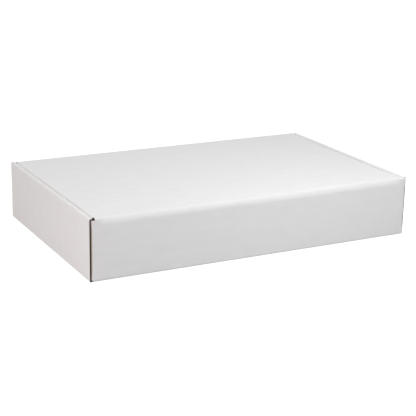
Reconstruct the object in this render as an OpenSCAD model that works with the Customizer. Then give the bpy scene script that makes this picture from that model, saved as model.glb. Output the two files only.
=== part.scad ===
// Roll-end mailer box, folded from one die-cut sheet of corrugated board.
// The long wall on the -Y side carries the lid, and the long wall on the +Y side
// takes its tuck flap. Each short wall is rolled: an outer panel, a narrow top and
// an inner panel, with the corner flaps of both long walls held in between, and
// tabs that lock through slots in the base.
// The box stands on Z = 0 with its centre on the Z axis. All sizes are in mm.

/* [Box] */
// Length over the two rolled side walls, along X
box_length = 395; // [300:1:450]
// Width over the hinge wall and the tuck wall, along Y
box_width = 248; // [200:1:300]
// Height over the closed lid, along Z
box_height = 68; // [60:1:90]

/* [Board] */
// Thickness of the corrugated board
board = 1.6; // [1.4:0.1:1.8]
// Inner radius of a crease, and the air between two folded layers
crease_inner = 0.2; // [0.2:0.05:0.3]
// Thickness of each liner, where a raw edge shows it
liner = 0.25; // [0.2:0.05:0.35]
// Depth of the open flute in a raw edge that runs along the flutes
open_flute = 1.2; // [0.6:0.1:2]

/* [Rolled side walls] */
// How far the rolled edge lies below the top of the lid
roll_drop = 0.1; // [0.1:0.1:1]
// Setback of the outer panel's raw edge behind the face of the long wall
outer_setback = 0.3; // [0.2:0.1:1.8]
// Setback of the inner panel's raw edge, at the rolled edge
inner_setback = 3.2; // [2.8:0.1:5]
// How much narrower the inner panel is at its foot, at each end
inner_taper = 4; // [0:0.5:10]
// Locking tabs on each inner panel
tab_count = 2; // [1:1:3]
// Length of a locking tab at its root
tab_length = 50; // [30:1:60]
// Distance between the middles of two tabs
tab_pitch = 116; // [90:1:130]
// Play of a tab in its slot, on each side
tab_play = 0.3; // [0.2:0.1:0.5]

/* [Corner flaps] */
// Length of a corner flap inside the rolled wall
flap_length = 96; // [60:1:115]
// Slant of its free end
flap_slant = 12; // [0:1:20]
// Air between a corner flap and the rolled edge above it
flap_air = 0.2; // [0.2:0.1:2]

/* [Lid] */
// Clearance between the lid's flaps and the walls
lid_clearance = 0.4; // [0.3:0.1:1]
// How far the tuck wall's raw edge lies below the top of the lid
tuck_wall_drop = 1.4; // [0.4:0.1:2]
// Depth of the tuck flap
tuck_depth = 42; // [25:1:45]
// Lean of the tuck flap into the box, which clears the wall as the lid swings
tuck_lean = 5.5; // [5:0.1:7]
// Radius of the tuck flap's free corners
tuck_corner = 18; // [5:1:25]
// Depth of a dust flap
dust_depth = 52; // [30:1:54]
// Slant of a dust flap's edge at the tuck end
dust_slant_front = 18; // [14:1:40]
// Slant of a dust flap's edge at the hinge end
dust_slant_back = 10; // [0:1:30]
// Radius of a dust flap's free corners
dust_corner = 12; // [3:1:15]

/* [Hidden] */
$fn = 64;

liner_white = [0.90, 0.90, 0.90];

crease = crease_inner + board;
// Gap between the two liners, which an open flute fills
between_liners = board - 2 * liner;
// How far a cut runs out past the edge that it opens
past = 1;
roll_width = 3 * board + 2 * crease_inner;
roll_top = box_height - roll_drop;
flap_top = roll_top - board - flap_air;
wall_half = box_length / 2 - board - crease_inner - crease;
inner_foot = board + crease_inner;
tab_tip = 0.2;
tab_taper = 2;
die_corner = 3;

lid_half = box_length / 2 - roll_width - lid_clearance;
lid_panel_half = lid_half - crease;
lid_front = box_width / 2 - board - lid_clearance;
hinge_half = lid_half - 0.4;
hinge_ear = 3;
corner_relief = 0.5;
dust_back = -box_width / 2 + crease + hinge_ear + corner_relief;
dust_front = lid_front - crease - 2 * corner_relief;
// Half of the slit that parts the lid's half of the hinge crease from the wall's half
hinge_slit = 2;

// A die-cut outline: each corner of the polygon is rounded with its own radius
function unit(v) = v / norm(v);
function turn(a) = a > 180 ? a - 360 : a < -180 ? a + 360 : a;
function corner(a, b, c, r, steps = 8) =
    r == 0 ? [b] :
    let (
        u = unit(a - b),
        v = unit(c - b),
        half = acos(u * v) / 2,
        centre = b + unit(u + v) * r / sin(half),
        p = b + u * r / tan(half) - centre,
        q = b + v * r / tan(half) - centre,
        start = atan2(p.y, p.x),
        sweep = turn(atan2(q.y, q.x) - start)
    )
    [for (i = [0 : steps]) centre + r * [cos(start + sweep * i / steps), sin(start + sweep * i / steps)]];
function outline(points, radii) =
    let (n = len(points))
    [for (i = [0 : n - 1]) each corner(points[(i + n - 1) % n], points[i], points[(i + 1) % n], radii[i])];

// Runs a shape that stands on Z along X, with its X turned to Y and its Y to Z
module along_x() {
    rotate([90, 0, 90]) children();
}

// Runs a shape that stands on Z along Y, with its Y turned to Z
module along_y() {
    rotate([90, 0, 0]) children();
}

module both_sides() {
    children();
    mirror([1, 0, 0]) children();
}

module both_long_walls() {
    children();
    mirror([0, 1, 0]) children();
}

// Section through a strip of board, with its thickness along X
module strip(length) {
    translate([0, -length / 2])
        square([board, length]);
}

// The same for a strip that runs along the flutes, so each raw end has an open flute
module open_strip(length) {
    difference() {
        strip(length);
        for (side = [-1, 1])
            translate([board / 2, side * length / 2])
                square([between_liners, 2 * open_flute], center = true);
    }
}

// Board bent along a crease: a section swept about the Z axis. The angle at which it
// starts is where it joins a flat panel.
module bend(start, sweep = 90) {
    rotate([0, 0, start])
        rotate_extrude(angle = sweep)
            translate([crease_inner, 0])
                children();
}

// A flat panel of board that faces X, given by its outline in Y and Z
module panel_x(x, points, thickness = board) {
    translate([x, 0, 0])
        rotate([90, 0, 90])
            linear_extrude(thickness)
                polygon(points);
}

// A flat panel of board that faces Y, given by its outline in X and Z
module panel_y(y, points, thickness = board) {
    translate([0, y + thickness, 0])
        rotate([90, 0, 0])
            linear_extrude(thickness)
                polygon(points);
}

// A side panel that faces X. Its two raw edges run from foot to head, each given as half
// of the panel's width and a height, and each has an open flute.
module side_panel(x, foot, head) {
    difference() {
        panel_x(x, [[-foot.x, foot.y], foot, head, [-head.x, head.y]]);
        both_long_walls()
            panel_x(x + liner, [
                [foot.x - open_flute, foot.y], [foot.x + past, foot.y],
                [head.x + past, head.y], [head.x - open_flute, head.y]
            ], between_liners);
    }
}

function tab_centres() = [for (i = [0 : tab_count - 1]) (i - (tab_count - 1) / 2) * tab_pitch];

// Base, with the slots that take the locking tabs
module base() {
    slot_x = -box_length / 2 + roll_width - board / 2;
    difference() {
        translate([-box_length / 2 + crease, -box_width / 2 + crease, 0])
            cube([box_length - 2 * crease, box_width - 2 * crease, board]);
        both_sides()
            for (y = tab_centres())
                translate([slot_x, y, 0])
                    cube([board + 2 * tab_play, tab_length + 2 * tab_play, 4 * board], center = true);
    }
}

// Foot crease of a long wall, on the -Y side
module long_foot() {
    translate([0, -box_width / 2 + crease, crease])
        along_x() bend(180) strip(2 * wall_half);
}

// Corner flap and its upright crease, at the -X end of the -Y wall
module corner_flap() {
    x = -box_length / 2 + board + crease_inner;
    y = -box_width / 2 + crease;
    height = flap_top - crease;
    translate([x + crease, y, crease + height / 2])
        bend(180) strip(height);
    panel_x(x, outline(
        [[y, crease], [y + flap_length, crease + flap_slant],
         [y + flap_length, flap_top - flap_slant], [y, flap_top]],
        [0, die_corner, die_corner, 0]));
}

// Outline of a long wall: its ends are cut down to pass under the rolled edges
function long_wall_points(top) = [
    [-wall_half, crease], [wall_half, crease], [wall_half, flap_top], [hinge_half, flap_top],
    [hinge_half, top], [-hinge_half, top], [-hinge_half, flap_top], [-wall_half, flap_top]
];

// Wall that carries the lid, up to its half of the hinge crease
module hinge_wall() {
    panel_y(-box_width / 2, long_wall_points(box_height - crease));
    translate([0, -box_width / 2 + crease, box_height - crease])
        along_x() bend(180, hinge_slit - 45) strip(2 * hinge_half);
}

// Wall that the tuck flap goes behind, with a raw top edge and its open flute
module tuck_wall() {
    wall = box_width / 2 - board;
    top = box_height - tuck_wall_drop;
    end = hinge_half + past;
    difference() {
        panel_y(wall, long_wall_points(top));
        panel_y(wall + liner, [
            [-end, top - open_flute], [end, top - open_flute], [end, top + past], [-end, top + past]
        ], between_liners);
    }
}

// Rolled wall on the -X side: foot crease, outer panel, narrow top and inner panel
module rolled_wall() {
    outer = -box_length / 2;
    outer_half = box_width / 2 - outer_setback;
    inner_half = box_width / 2 - inner_setback;
    shoulder = roll_top - crease;
    inner = outer + roll_width;
    translate([outer + crease, 0, crease])
        along_y() bend(180) open_strip(2 * outer_half);
    side_panel(outer, [outer_half, crease], [outer_half, shoulder]);
    translate([outer + crease, 0, shoulder])
        along_y() bend(90) open_strip(2 * outer_half);
    translate([inner - crease, 0, roll_top - board])
        rotate([0, -90, 0])
            linear_extrude(roll_width - 2 * crease)
                open_strip(2 * outer_half);
    translate([inner - crease, 0, shoulder])
        along_y() bend(0) open_strip(2 * inner_half);
    side_panel(inner - board, [inner_half - inner_taper, inner_foot], [inner_half, shoulder]);
    for (y = tab_centres())
        panel_x(inner - board, [
            [y - tab_length / 2, inner_foot], [y - tab_length / 2 + tab_taper, tab_tip],
            [y + tab_length / 2 - tab_taper, tab_tip], [y + tab_length / 2, inner_foot]
        ]);
}

module tray() {
    color(liner_white) {
        base();
        both_long_walls() long_foot();
        hinge_wall();
        tuck_wall();
        both_sides() {
            rolled_wall();
            both_long_walls() corner_flap();
        }
    }
}

// Lid panel, with its half of the hinge crease
module lid_panel() {
    back = -box_width / 2 + crease;
    translate([-lid_panel_half, back, box_height - board])
        cube([2 * lid_panel_half, lid_front - crease - back, board]);
    translate([-hinge_half, back, box_height - board])
        cube([2 * hinge_half, hinge_ear, board]);
    translate([0, back, box_height - crease])
        along_x() bend(90, 45 - hinge_slit) strip(2 * hinge_half);
}

// Dust flap on the -X side, with its crease along the lid's short edge
module dust_flap() {
    length = dust_front - dust_back;
    top = box_height - crease;
    translate([-lid_half + crease, dust_back + length / 2, top])
        along_y() bend(90) strip(length);
    panel_x(-lid_half, outline(
        [[dust_back, top], [dust_back + dust_slant_back, top - dust_depth],
         [dust_front - dust_slant_front, top - dust_depth], [dust_front, top]],
        [0, dust_corner, dust_corner, 0]));
}

// Section of the tuck flap below its crease: it goes on bending by the lean, then runs
// straight to its raw edge, which has an open flute
function tuck_section() =
    let (
        arc = [for (i = [0 : 2]) -tuck_lean * i / 2],
        across = [cos(tuck_lean), -sin(tuck_lean)],
        down = [-sin(tuck_lean), -cos(tuck_lean)],
        edge = tuck_depth * down,
        flute_end = (tuck_depth - open_flute) * down
    )
    concat(
        [for (a = arc) crease * [cos(a), sin(a)]],
        [edge + crease * across, edge + (crease - liner) * across],
        [flute_end + (crease - liner) * across, flute_end + (crease_inner + liner) * across],
        [edge + (crease_inner + liner) * across, edge + crease_inner * across],
        [for (i = [2 : -1 : 0]) crease_inner * [cos(arc[i]), sin(arc[i])]]
    );

// Tuck flap, bent a little past square so that it leans into the box
module tuck_flap() {
    reach = 2 * tuck_depth;
    translate([0, lid_front - crease, box_height - crease]) {
        along_x() bend(90, -90) strip(2 * lid_panel_half);
        intersection() {
            translate([-lid_panel_half, 0, 0])
                along_x() linear_extrude(2 * lid_panel_half) polygon(tuck_section());
            translate([0, reach / 2, 0])
                rotate([90, 0, 0])
                    linear_extrude(reach)
                        polygon(outline(
                            [[-lid_panel_half, 0], [-lid_panel_half + tab_taper, -tuck_depth],
                             [lid_panel_half - tab_taper, -tuck_depth], [lid_panel_half, 0]],
                            [0, tuck_corner, tuck_corner, 0]));
        }
    }
}

module lid() {
    color(liner_white) {
        lid_panel();
        both_sides() dust_flap();
        tuck_flap();
    }
}

tray();
lid();
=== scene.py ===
"""White corrugated mailer box, folded from its flat blank as the real one is.

The board has three papers: a white outer liner, a fluted medium and a brown inner liner.
Each is cut to the same die-cut outline and bent about the same creases as the solid that it
stands for. Lengths are in millimetres until a mesh is made, and points of the flat blank are
X and Y with the middle of the base at the origin, as if the board lay open with its white
face down.
"""

import logging
import math
from collections.abc import Iterable, Sequence
from dataclasses import dataclass
from enum import Enum, IntEnum

import bmesh
import bpy
import numpy as np
from mathutils import Matrix, Vector


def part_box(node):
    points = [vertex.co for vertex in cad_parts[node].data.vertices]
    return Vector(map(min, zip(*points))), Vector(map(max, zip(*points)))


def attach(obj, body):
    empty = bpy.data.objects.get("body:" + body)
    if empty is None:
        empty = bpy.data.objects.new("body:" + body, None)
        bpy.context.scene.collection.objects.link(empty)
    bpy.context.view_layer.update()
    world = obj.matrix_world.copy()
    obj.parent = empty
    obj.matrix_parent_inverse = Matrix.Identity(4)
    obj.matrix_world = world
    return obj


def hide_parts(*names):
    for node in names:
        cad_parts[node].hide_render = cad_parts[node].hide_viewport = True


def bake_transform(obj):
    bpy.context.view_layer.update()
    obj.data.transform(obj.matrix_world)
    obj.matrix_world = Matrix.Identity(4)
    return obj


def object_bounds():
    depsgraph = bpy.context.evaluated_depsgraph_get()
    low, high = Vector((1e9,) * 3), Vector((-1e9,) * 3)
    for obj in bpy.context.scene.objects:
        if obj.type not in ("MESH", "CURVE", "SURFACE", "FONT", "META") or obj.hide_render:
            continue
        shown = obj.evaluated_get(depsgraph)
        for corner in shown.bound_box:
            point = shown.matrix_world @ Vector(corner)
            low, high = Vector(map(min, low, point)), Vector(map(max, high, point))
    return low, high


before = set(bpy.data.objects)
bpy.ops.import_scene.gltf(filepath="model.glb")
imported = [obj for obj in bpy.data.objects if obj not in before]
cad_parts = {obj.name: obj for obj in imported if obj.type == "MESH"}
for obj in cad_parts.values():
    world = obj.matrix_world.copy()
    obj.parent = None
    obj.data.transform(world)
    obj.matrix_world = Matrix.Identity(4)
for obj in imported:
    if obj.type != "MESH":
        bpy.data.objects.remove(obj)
cad_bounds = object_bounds()

MM = 0.001
FLUTE_PITCH = 3.3
# Decimals of the places where lines of vertices lie, and of a vertex's place or a box's size.
LINE_DECIMALS = 4
SIZE_DECIMALS = 3
# Places closer than this are one.
SAME_PLACE = 0.001
# Lines of vertices over a lean or over its fading.
FADE_LINES = 6
# Lines of vertices over one flute.
FLUTE_STEPS = 8
SHARP_ANGLE = math.radians(50)
BLANK_MAP = "Blank"
log = logging.getLogger("mailer_box")


class Paper(Enum):
    """A paper of the board, from its white face inwards."""

    OUTER_LINER = "outer_liner"
    FLUTES = "flutes"
    INNER_LINER = "inner_liner"


class Fold(Enum):
    """How a stretch of the blank is folded."""

    LENGTHWISE = 0
    ROLLED_WALL = 1
    CORNER_FLAP = 2
    DUST_FLAP = 3


class HingeRun(IntEnum):
    """Runs of the section up the hinge wall and over the lid, from the middle of the base."""

    BASE = 0
    FOOT = 1
    WALL = 2
    CREASE = 3
    LID = 4
    FRONT_CREASE = 5
    TUCK_FLAP = 6


class RollRun(IntEnum):
    """Runs of the section through a rolled side wall, from the middle of the base."""

    BASE = 0
    FOOT = 1
    OUTER_PANEL = 2
    OUTER_CREASE = 3
    TOP = 4
    INNER_CREASE = 5
    INNER_PANEL = 6


@dataclass(frozen=True)
class Board:
    """E-flute board. Its flutes run along the box's length in the flat blank."""

    thickness: float = 1.6
    crease_inner: float = 0.2
    liner: float = 0.26
    medium: float = 0.18
    flute_pitch: float = FLUTE_PITCH

    @property
    def crease(self) -> float:
        """Outer radius of a crease."""
        return self.thickness + self.crease_inner

    def depths(self, paper: Paper) -> tuple[float, float]:
        """Finds where a paper lies in the board.

        Args:
            paper: Which of the three papers.

        Returns:
            The depths of its two faces below the board's white face.
        """
        core = self.thickness - self.liner
        spans = {
            Paper.OUTER_LINER: (0.0, self.liner),
            Paper.FLUTES: (self.liner, core),
            Paper.INNER_LINER: (core, self.thickness),
        }
        return spans[paper]


@dataclass(frozen=True)
class Flat:
    """A flat run of board, of this length."""

    length: float


@dataclass(frozen=True)
class SoftCrease:
    """How the panels beside a crease lean into it, where scoring has weakened the board.

    A lean is in degrees at the crease, and it starts at its reach from the crease. It fades out
    over a length at each end of the crease, where other folds stiffen the board.
    """

    lean_before: float = 8.0
    lean_after: float = 8.0
    reach_before: float = 6.0
    reach_after: float = 6.0
    ends: float = 10.0

    @property
    def sides(self) -> tuple[tuple[float, float], tuple[float, float]]:
        """Lean in degrees, and how far from the crease it starts, before it and after it."""
        return (self.lean_before, self.reach_before), (self.lean_after, self.reach_after)

    def give(self, from_middle: np.ndarray, half: float, lean: float, reach: float) -> np.ndarray:
        """Finds how far the board gives way.

        Args:
            from_middle: Distances from the middle of the crease, along the white face.
            half: Half of the crease's length along the white face.
            lean: Angle of the panel's lean at the crease, in degrees.
            reach: How far from the crease's edge the lean starts.

        Returns:
            Distances that rise smoothly to a round top over the crease.
        """
        away = np.abs(from_middle)
        steepness = math.tan(math.radians(lean)) / (2 * reach)
        beside = steepness * np.clip(half + reach - away, 0, None) ** 2
        top = steepness * reach * (half + reach)
        over = top - steepness * reach / half * away**2
        return np.where(away < half, over, beside)

    def hold(self, *from_ends: np.ndarray) -> np.ndarray:
        """How much of it there is near a crease's ends: less and less, without a kink."""
        shares = [np.clip(distance / self.ends, 0, 1) for distance in from_ends]
        return math.prod(share * share * (3 - 2 * share) for share in shares)

    @property
    def lines(self) -> np.ndarray:
        """Distances from either edge of the crease where the lean needs vertices."""
        return np.unique(np.linspace((0, 0), (self.reach_before, self.reach_after), FADE_LINES))

    @property
    def end_lines(self) -> np.ndarray:
        """Distances from a crease's end where its fading needs vertices."""
        return np.linspace(0, self.ends, FADE_LINES)


@dataclass(frozen=True)
class Bend:
    """A crease that turns the board by this angle, in degrees."""

    degrees: float = 90.0
    soft: SoftCrease | None = None


class FoldPath:
    """Section of the board's white face, from the middle of a panel outwards.

    It starts along +U, and each crease turns it towards +V, which is the board's inner side.
    """

    def __init__(self, radius: float, *runs: Flat | Bend) -> None:
        """Lays the runs end to end.

        Args:
            radius: Radius of the white face at a crease.
            *runs: Flat runs and creases, in order.
        """
        self.radius = radius
        self.bent = np.array([isinstance(run, Bend) for run in runs])
        turns = [math.radians(run.degrees) if isinstance(run, Bend) else 0.0 for run in runs]
        lengths = [radius * turn if turn else run.length for run, turn in zip(runs, turns)]
        self.marks = np.cumsum(lengths)
        self.starts = self.marks - lengths
        self.headings = np.cumsum(turns) - turns
        points = [(0.0, 0.0)]
        for length, turn, heading in zip(lengths, turns, self.headings):
            chord = 2 * radius * math.sin(turn / 2) if turn else length
            aim = heading + turn / 2
            u, v = points[-1]
            points.append((u + chord * math.cos(aim), v + chord * math.sin(aim)))
        self.points = np.array(points[:-1])
        self.soft = [
            (start, end, heading, turn, run.soft)
            for start, end, heading, turn, run in zip(self.starts, self.marks, self.headings, turns, runs)
            if isinstance(run, Bend) and run.soft
        ]

    def give(self, along: np.ndarray) -> tuple[np.ndarray, np.ndarray]:
        """Finds how far the board gives way beside the soft creases.

        Args:
            along: Distances along the white face.

        Returns:
            The change of U and of V at each.
        """
        change_u, change_v = np.zeros(len(along)), np.zeros(len(along))
        for start, end, heading, turn, soft in self.soft:
            for (lean, reach), angle in zip(soft.sides, (heading, heading + turn)):
                give = soft.give(along - (start + end) / 2, (end - start) / 2, lean, reach)
                change_u -= give * math.sin(angle)
                change_v += give * math.cos(angle)
        return change_u, change_v

    def place(self, along: np.ndarray, depth: np.ndarray) -> tuple[np.ndarray, np.ndarray]:
        """Folds points of the flat section.

        Args:
            along: Distances along the white face.
            depth: Depths below it.

        Returns:
            The U and V of each point.
        """
        run = np.clip(np.searchsorted(self.starts, along, side="right") - 1, 0, len(self.starts) - 1)
        travel = along - self.starts[run]
        heading = self.headings[run]
        start_u, start_v = self.points[run, 0], self.points[run, 1]
        turned = heading + travel / self.radius
        arm = self.radius - depth
        bent_u = start_u - self.radius * np.sin(heading) + arm * np.sin(turned)
        bent_v = start_v + self.radius * np.cos(heading) - arm * np.cos(turned)
        flat_u = start_u + travel * np.cos(heading) - depth * np.sin(heading)
        flat_v = start_v + travel * np.sin(heading) + depth * np.cos(heading)
        return np.where(self.bent[run], bent_u, flat_u), np.where(self.bent[run], bent_v, flat_v)

    def positions(self, start: float, end: float, steps: int, margin: float) -> np.ndarray:
        """Finds where a stretch of the section needs vertices.

        Args:
            start: Where the stretch starts.
            end: Where it ends.
            steps: Facets round a crease.
            margin: How far beside a crease a line of vertices keeps the panel's shading flat.

        Returns:
            Sorted distances along the white face, both ends among them.
        """
        found = [start, end, *self.marks]
        for begin, finish in zip(self.starts[self.bent], self.marks[self.bent]):
            found += [*np.linspace(begin, finish, steps + 1), begin - margin, finish + margin]
        for begin, finish, _, _, soft in self.soft:
            found += [*(begin - soft.lines), *(finish + soft.lines)]
        found = np.unique(np.round(found, LINE_DECIMALS))
        return found[(found >= round(start, LINE_DECIMALS)) & (found <= round(end, LINE_DECIMALS))]


@dataclass(frozen=True)
class Mailer:
    """Sizes of the folded box. What the frame holds is read from it."""

    board: Board
    length: float
    width: float
    height: float
    roll_top: float
    lid_half: float
    lid_front: float
    dust_bottom: float
    outer_setback: float = 0.3
    right_setback: float = 3.8
    inner_setback: float = 3.2
    inner_taper: float = 4.0
    tab_count: int = 2
    tab_length: float = 50.0
    tab_pitch: float = 116.0
    tab_play: float = 0.3
    tab_tip: float = 0.2
    tab_taper: float = 2.0
    flap_length: float = 96.0
    flap_slant: float = 12.0
    flap_corner: float = 3.0
    flap_air: float = 0.2
    hinge_inset: float = 0.4
    hinge_ear: float = 3.0
    cap_air: float = 0.2
    cap_short: float = 0.05
    tuck_wall_drop: float = 1.4
    tuck_depth: float = 42.0
    tuck_lean: float = 5.5
    tuck_taper: float = 2.0
    tuck_corner: float = 18.0
    dust_relief: float = 0.5
    dust_slant_front: float = 18.0
    dust_slant_back: float = 10.0
    dust_corner: float = 12.0

    @classmethod
    def from_frame(cls, board: Board) -> "Mailer":
        """Reads the folded box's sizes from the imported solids.

        Args:
            board: The board that it is made of.

        Returns:
            The sizes of the box.
        """
        low, high = (corner / MM for corner in cad_bounds)
        tray_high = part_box("tray")[1] / MM
        lid_low, lid_high = (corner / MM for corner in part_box("lid"))
        sizes = {
            "length": high.x - low.x,
            "width": high.y - low.y,
            "height": high.z,
            "roll_top": tray_high.z,
            "lid_half": lid_high.x,
            "lid_front": lid_high.y,
            "dust_bottom": lid_low.z,
        }
        return cls(board=board, **{name: round(size, SIZE_DECIMALS) for name, size in sizes.items()})

    @property
    def base_half(self) -> float:
        """Half of the base between its foot creases, along Y."""
        return self.width / 2 - self.board.crease

    @property
    def base_reach(self) -> float:
        """Half of the base between its foot creases, along X."""
        return self.length / 2 - self.board.crease

    @property
    def wall_half(self) -> float:
        """Half of a long wall between its upright creases."""
        return self.base_reach - self.board.crease

    @property
    def hinge_half(self) -> float:
        """Half of the crease that the lid hangs on."""
        return self.lid_half - self.hinge_inset

    @property
    def panel_half(self) -> float:
        """Half of the lid panel between the dust flaps' creases."""
        return self.lid_half - self.board.crease

    def outer_half(self, side: int) -> float:
        """Half of a side wall's outer panel, along Y. The right one stands back in the photo."""
        return self.width / 2 - (self.right_setback if side > 0 else self.outer_setback)

    @property
    def shoulder(self) -> float:
        """Height at which a side wall starts to roll over."""
        return self.roll_top - self.board.crease

    @property
    def flap_top(self) -> float:
        """Height of the corner flaps, and of the long walls' cut-down ends."""
        return self.roll_top - self.board.thickness - self.flap_air

    @property
    def tab_centres(self) -> list[float]:
        """Middles of the locking tabs along Y."""
        return [(number - (self.tab_count - 1) / 2) * self.tab_pitch for number in range(self.tab_count)]


class Blank:
    """The flat blank and how it folds up into the box."""

    def __init__(self, mailer: Mailer) -> None:
        """Lays out the sections along which the blank is folded.

        Args:
            mailer: Sizes of the folded box.
        """
        self.mailer = mailer
        # The upright corners, the crease that the lid hangs on, and the lid's short edges.
        self.soft = SoftCrease()
        self.soft_hinge = SoftCrease(lean_before=30.0, lean_after=4.5, reach_after=25.0, ends=150.0)
        self.soft_edge = SoftCrease(
            lean_before=14.0, lean_after=16.0, reach_before=4.0, reach_after=4.0, ends=60.0
        )
        radius = mailer.board.crease
        lid_depth = mailer.lid_front - radius + mailer.base_half
        wall = mailer.height - 2 * radius
        # The roll holds three boards: the outer panel, the corner flaps and the inner panel.
        roll_width = 3 * mailer.board.thickness + 2 * mailer.board.crease_inner
        roll = Flat(roll_width - 2 * radius)
        outer_panel = Flat(mailer.shoulder - radius)
        inner_panel = Flat(mailer.shoulder - mailer.tab_tip)
        base, foot, tuck_flap = Flat(mailer.base_half), Bend(), Flat(mailer.tuck_depth)
        front_crease = Bend(90 + mailer.tuck_lean)
        tuck_wall = Flat(mailer.height - mailer.tuck_wall_drop - radius)
        dust_flap = Flat(mailer.height - radius - mailer.dust_bottom)
        lid = (Bend(soft=self.soft_hinge), Flat(lid_depth), front_crease, tuck_flap)
        self.hinge_side = FoldPath(radius, base, foot, Flat(wall), *lid)
        self.tuck_side = FoldPath(radius, base, foot, tuck_wall)
        self.roll_side = FoldPath(
            radius, Flat(mailer.base_reach), Bend(), outer_panel, Bend(), roll, Bend(), inner_panel
        )
        upright = Bend(soft=self.soft)
        self.corner_side = FoldPath(radius, Flat(mailer.wall_half), upright, Flat(mailer.flap_length))
        self.dust_side = FoldPath(radius, Flat(mailer.panel_half), Bend(soft=self.soft_edge), dust_flap)

    @property
    def wall_foot(self) -> float:
        """Where a long wall starts above its foot crease."""
        return self.hinge_side.marks[HingeRun.FOOT]

    @property
    def ledge(self) -> float:
        """Where the ends of a long wall are cut down."""
        return self.wall_foot + self.mailer.flap_top - self.mailer.board.crease

    @property
    def cap_end(self) -> float:
        """How far the hinge wall's right end runs on over its crease, up to the roll that stands back."""
        return self.lid_start + self.mailer.right_setback - self.mailer.board.crease - self.mailer.cap_air

    @property
    def lid_start(self) -> float:
        """Where the lid panel starts beyond the hinge crease."""
        return self.hinge_side.marks[HingeRun.CREASE]

    def lid_place(self, y: float) -> float:
        """Distance along the blank of a point of the lid panel, given by its Y in the closed box."""
        return self.lid_start + self.mailer.base_half + y

    def side_path(self, fold: Fold) -> FoldPath | None:
        """Finds the section across the box that a stretch follows.

        Args:
            fold: How the stretch is folded.

        Returns:
            The section, or none for a lengthwise stretch.
        """
        paths = {
            Fold.ROLLED_WALL: self.roll_side,
            Fold.CORNER_FLAP: self.corner_side,
            Fold.DUST_FLAP: self.dust_side,
        }
        return paths.get(fold)

    def fold(self, flat: np.ndarray, depth: float, fold: Fold) -> np.ndarray:
        """Folds points of the blank.

        Args:
            flat: X and Y of the points in the flat blank.
            depth: Their depth below the white face.
            fold: How their stretch is folded.

        Returns:
            X, Y and Z of the points in the closed box.
        """
        x, y = np.abs(flat[:, 0]), np.abs(flat[:, 1])
        depths = np.full(len(flat), depth)
        side = self.side_path(fold)
        if side:
            x, depths = side.place(x, depths)
        if fold is Fold.ROLLED_WALL:
            return np.column_stack((np.copysign(x, flat[:, 0]), flat[:, 1], depths))
        narrower, deeper = self.side_give(flat)
        x, depths = x + narrower, depths + deeper
        hinge_y, hinge_z = self.hinge_side.place(y, depths)
        give_y, give_z = self.hinge_side.give(y)
        held = self.soft.hold(self.mailer.panel_half - np.abs(flat[:, 0]))
        droop = held * self.soft_hinge.hold(self.mailer.panel_half - flat[:, 0])
        hinge_y, hinge_z = hinge_y + give_y * held, hinge_z + give_z * droop
        tuck_y, tuck_z = self.tuck_side.place(y, depths)
        on_hinge_side = flat[:, 1] < 0
        y = np.where(on_hinge_side, -hinge_y, tuck_y)
        return np.column_stack((np.copysign(x, flat[:, 0]), y, np.where(on_hinge_side, hinge_z, tuck_z)))

    def side_give(self, flat: np.ndarray) -> tuple[np.ndarray, np.ndarray]:
        """Finds how far the board gives way beside the creases at the ends of the walls and the lid.

        Args:
            flat: X and Y of the points in the flat blank.

        Returns:
            The change of X and of the depth below the white face, for each point.
        """
        x, y = np.abs(flat[:, 0]), np.abs(flat[:, 1])
        crease_start, lid_start, lid_end = self.hinge_side.marks[HingeRun.WALL : HingeRun.FRONT_CREASE]
        wall_end = np.where(flat[:, 1] < 0, crease_start, self.ledge)
        held = self.soft.hold(y - self.wall_foot, wall_end - y)
        change_x, change_depth = (change * held for change in self.corner_side.give(x))
        held = self.soft_edge.hold(y - lid_start, lid_end - y) * (flat[:, 1] < 0)
        lid_x, lid_depth = (change * held for change in self.dust_side.give(x))
        return change_x + lid_x, change_depth + lid_depth

    @property
    def end_lines(self) -> tuple[np.ndarray, np.ndarray, np.ndarray]:
        """Finds where soft creases that run along the box's width fade out.

        Returns:
            Distances along the blank, of the hinge wall, the tuck wall and the lid.
        """
        crease_start, lid_start, lid_end = self.hinge_side.marks[HingeRun.WALL : HingeRun.FRONT_CREASE]
        upright, edge = self.soft.end_lines, self.soft_edge.end_lines
        foot = self.wall_foot + upright
        hinge_wall = np.concatenate((foot, crease_start - upright))
        tuck_wall = np.concatenate((foot, self.ledge - upright))
        return hinge_wall, tuck_wall, np.concatenate((lid_start + edge, lid_end - edge))

    @property
    def side_lines(self) -> np.ndarray:
        """Finds where the creases at the ends of the walls and the lid need vertices.

        Returns:
            Distances from the middle of the box.
        """
        wall, panel, soft = self.mailer.wall_half, self.mailer.panel_half, self.soft
        ends = np.concatenate((soft.end_lines, self.soft_hinge.end_lines))
        return np.concatenate((wall - soft.lines, panel - self.soft_edge.lines, panel - ends))

    def wall_lines(self, margin: float) -> np.ndarray:
        """Finds where the upright creases alone need vertices.

        Args:
            margin: How far beside their lean a line of vertices keeps the wall's shading flat.

        Returns:
            Distances from the middle of the box.
        """
        return self.mailer.wall_half - np.append(self.soft.lines, self.soft.reach_before + margin)

    @property
    def hinge_start(self) -> float:
        """Where the tray leaves the wall to the hinge crease, below the lean."""
        return self.hinge_side.starts[HingeRun.CREASE] - self.soft_hinge.reach_before


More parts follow.
